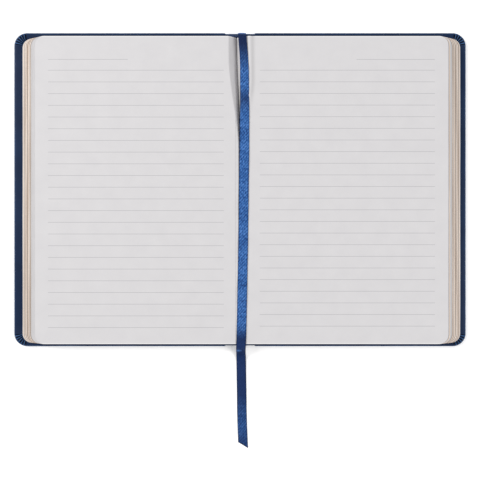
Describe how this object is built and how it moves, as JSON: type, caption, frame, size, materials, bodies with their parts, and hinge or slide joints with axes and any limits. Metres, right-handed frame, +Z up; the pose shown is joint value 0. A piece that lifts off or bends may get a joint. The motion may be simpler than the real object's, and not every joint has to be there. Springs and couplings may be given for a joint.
{
  "type": "hardback ruled journal",
  "caption": "Open hardback ruled journal with navy leather covers that close on a flat spine, sewn page sections, a turning leaf and a satin marker ribbon.",
  "frame": {"origin": "centre of the open book's footprint on the table, without the ribbon", "axes": "+X to the reader's right across both covers, +Y to the head of the page, +Z up from the table"},
  "size_m": [0.3114, 0.2836, 0.0104],
  "materials": {
    "leather": "fine grain, satin",
    "board": "matte",
    "paper": "matte",
    "gilt_paper": "soft metallic edge",
    "cloth": "open weave",
    "thread": "twisted",
    "ribbon": "satin weave"
  },
  "bodies": {
    "spine": {"spine_board": "board", "spine_leather": "leather", "spine_lining": "cloth", "mull_cloth": "cloth", "section_folds": "paper", "sewing_thread": "thread", "headband": "cloth", "tailband": "cloth", "ribbon_glued_end": "ribbon", "ribbon_marker": "ribbon"},
    "front_cover": {"front_cover_leather": "leather", "front_board": "board", "front_pastedown": "paper"},
    "back_cover": {"back_cover_leather": "leather", "back_board": "board", "back_pastedown": "paper"},
    "front_flyleaf": {"front_flyleaf": "paper"},
    "section_01": {"section_01": "gilt_paper"},
    "section_02": {"section_02": "gilt_paper"},
    "section_03": {"section_03": "gilt_paper"},
    "section_04": {"section_04": "gilt_paper"},
    "section_05": {"section_05": "gilt_paper"},
    "section_06": {"section_06": "gilt_paper"},
    "section_07": {"section_07": "gilt_paper"},
    "section_08_left": {"section_08_left": "paper"},
    "section_08_right": {"section_08_right": "paper"},
    "section_09": {"section_09": "gilt_paper"},
    "section_10": {"section_10": "gilt_paper"},
    "section_11": {"section_11": "gilt_paper"},
    "section_12": {"section_12": "gilt_paper"},
    "section_13": {"section_13": "gilt_paper"},
    "section_14": {"section_14": "gilt_paper"},
    "section_15": {"section_15": "gilt_paper"},
    "back_flyleaf": {"back_flyleaf": "paper"},
    "turning_leaf": {"turning_leaf": "paper"}
  },
  "joints": [
    {"name": "front_cover_hinge", "type": "hinge", "parent": "spine", "child": "front_cover", "pos_m": [-0.009, 0, 0.0015], "axis": [0, 1, 0], "range_deg": [0, 90], "deforming": ["ribbon_marker"]},
    {"name": "back_cover_hinge", "type": "hinge", "parent": "spine", "child": "back_cover", "pos_m": [0.009, 0, 0.0015], "axis": [0, -1, 0], "range_deg": [0, 90], "deforming": ["ribbon_marker"]},
    {"name": "front_flyleaf_fold", "type": "hinge", "parent": "spine", "child": "front_flyleaf", "pos_m": [-0.00675, 0, 0.00345], "axis": [0, 1, 0], "range_deg": [0, 90]},
    {"name": "section_01_fold", "type": "hinge", "parent": "spine", "child": "section_01", "pos_m": [-0.00634, 0, 0.00386], "axis": [0, 1, 0], "range_deg": [0, 90]},
    {"name": "section_02_fold", "type": "hinge", "parent": "spine", "child": "section_02", "pos_m": [-0.00567, 0, 0.00453], "axis": [0, 1, 0], "range_deg": [0, 90]},
    {"name": "section_03_fold", "type": "hinge", "parent": "spine", "child": "section_03", "pos_m": [-0.005, 0, 0.0052], "axis": [0, 1, 0], "range_deg": [0, 90]},
    {"name": "section_04_fold", "type": "hinge", "parent": "spine", "child": "section_04", "pos_m": [-0.00432, 0, 0.00588], "axis": [0, 1, 0], "range_deg": [0, 90]},
    {"name": "section_05_fold", "type": "hinge", "parent": "spine", "child": "section_05", "pos_m": [-0.00365, 0, 0.00655], "axis": [0, 1, 0], "range_deg": [0, 90]},
    {"name": "section_06_fold", "type": "hinge", "parent": "spine", "child": "section_06", "pos_m": [-0.00298, 0, 0.00722], "axis": [0, 1, 0], "range_deg": [0, 90]},
    {"name": "section_07_fold", "type": "hinge", "parent": "spine", "child": "section_07", "pos_m": [-0.00231, 0, 0.00789], "axis": [0, 1, 0], "range_deg": [0, 90]},
    {"name": "section_08_left_fold", "type": "hinge", "parent": "spine", "child": "section_08_left", "pos_m": [-0.00179, 0, 0.00841], "axis": [0, 1, 0], "range_deg": [0, 90]},
    {"name": "section_08_right_fold", "type": "hinge", "parent": "spine", "child": "section_08_right", "pos_m": [0.00279, 0, 0.00741], "axis": [0, -1, 0], "range_deg": [0, 90]},
    {"name": "section_09_fold", "type": "hinge", "parent": "spine", "child": "section_09", "pos_m": [0.00331, 0, 0.00689], "axis": [0, -1, 0], "range_deg": [0, 90]},
    {"name": "section_10_fold", "type": "hinge", "parent": "spine", "child": "section_10", "pos_m": [0.00398, 0, 0.00622], "axis": [0, -1, 0], "range_deg": [0, 90]},
    {"name": "section_11_fold", "type": "hinge", "parent": "spine", "child": "section_11", "pos_m": [0.00465, 0, 0.00555], "axis": [0, -1, 0], "range_deg": [0, 90]},
    {"name": "section_12_fold", "type": "hinge", "parent": "spine", "child": "section_12", "pos_m": [0.00532, 0, 0.00487], "axis": [0, -1, 0], "range_deg": [0, 90]},
    {"name": "section_13_fold", "type": "hinge", "parent": "spine", "child": "section_13", "pos_m": [0.006, 0, 0.0042], "axis": [0, -1, 0], "range_deg": [0, 90]},
    {"name": "section_14_fold", "type": "hinge", "parent": "spine", "child": "section_14", "pos_m": [0.00667, 0, 0.00353], "axis": [0, -1, 0], "range_deg": [0, 90]},
    {"name": "section_15_fold", "type": "hinge", "parent": "spine", "child": "section_15", "pos_m": [0.00734, 0, 0.00286], "axis": [0, -1, 0], "range_deg": [0, 90]},
    {"name": "back_flyleaf_fold", "type": "hinge", "parent": "spine", "child": "back_flyleaf", "pos_m": [0.00775, 0, 0.00245], "axis": [0, -1, 0], "range_deg": [0, 90]},
    {"name": "leaf_turn", "type": "hinge", "parent": "section_08_left", "child": "turning_leaf", "pos_m": [-0.0008, 0, 0.01038], "axis": [0, -1, 0], "range_deg": [-178, 0], "deforming": ["turning_leaf"]}
  ],
  "couplings": [
    {"joint": "front_flyleaf_fold", "follows": "front_cover_hinge", "ratio": 1},
    {"joint": "section_01_fold", "follows": "front_cover_hinge", "ratio": 1},
    {"joint": "section_02_fold", "follows": "front_cover_hinge", "ratio": 1},
    {"joint": "section_03_fold", "follows": "front_cover_hinge", "ratio": 1},
    {"joint": "section_04_fold", "follows": "front_cover_hinge", "ratio": 1},
    {"joint": "section_05_fold", "follows": "front_cover_hinge", "ratio": 1},
    {"joint": "section_06_fold", "follows": "front_cover_hinge", "ratio": 1},
    {"joint": "section_07_fold", "follows": "front_cover_hinge", "ratio": 1},
    {"joint": "section_08_left_fold", "follows": "front_cover_hinge", "ratio": 1},
    {"joint": "section_08_right_fold", "follows": "back_cover_hinge", "ratio": 1},
    {"joint": "section_09_fold", "follows": "back_cover_hinge", "ratio": 1},
    {"joint": "section_10_fold", "follows": "back_cover_hinge", "ratio": 1},
    {"joint": "section_11_fold", "follows": "back_cover_hinge", "ratio": 1},
    {"joint": "section_12_fold", "follows": "back_cover_hinge", "ratio": 1},
    {"joint": "section_13_fold", "follows": "back_cover_hinge", "ratio": 1},
    {"joint": "section_14_fold", "follows": "back_cover_hinge", "ratio": 1},
    {"joint": "section_15_fold", "follows": "back_cover_hinge", "ratio": 1},
    {"joint": "back_flyleaf_fold", "follows": "back_cover_hinge", "ratio": 1}
  ]
}
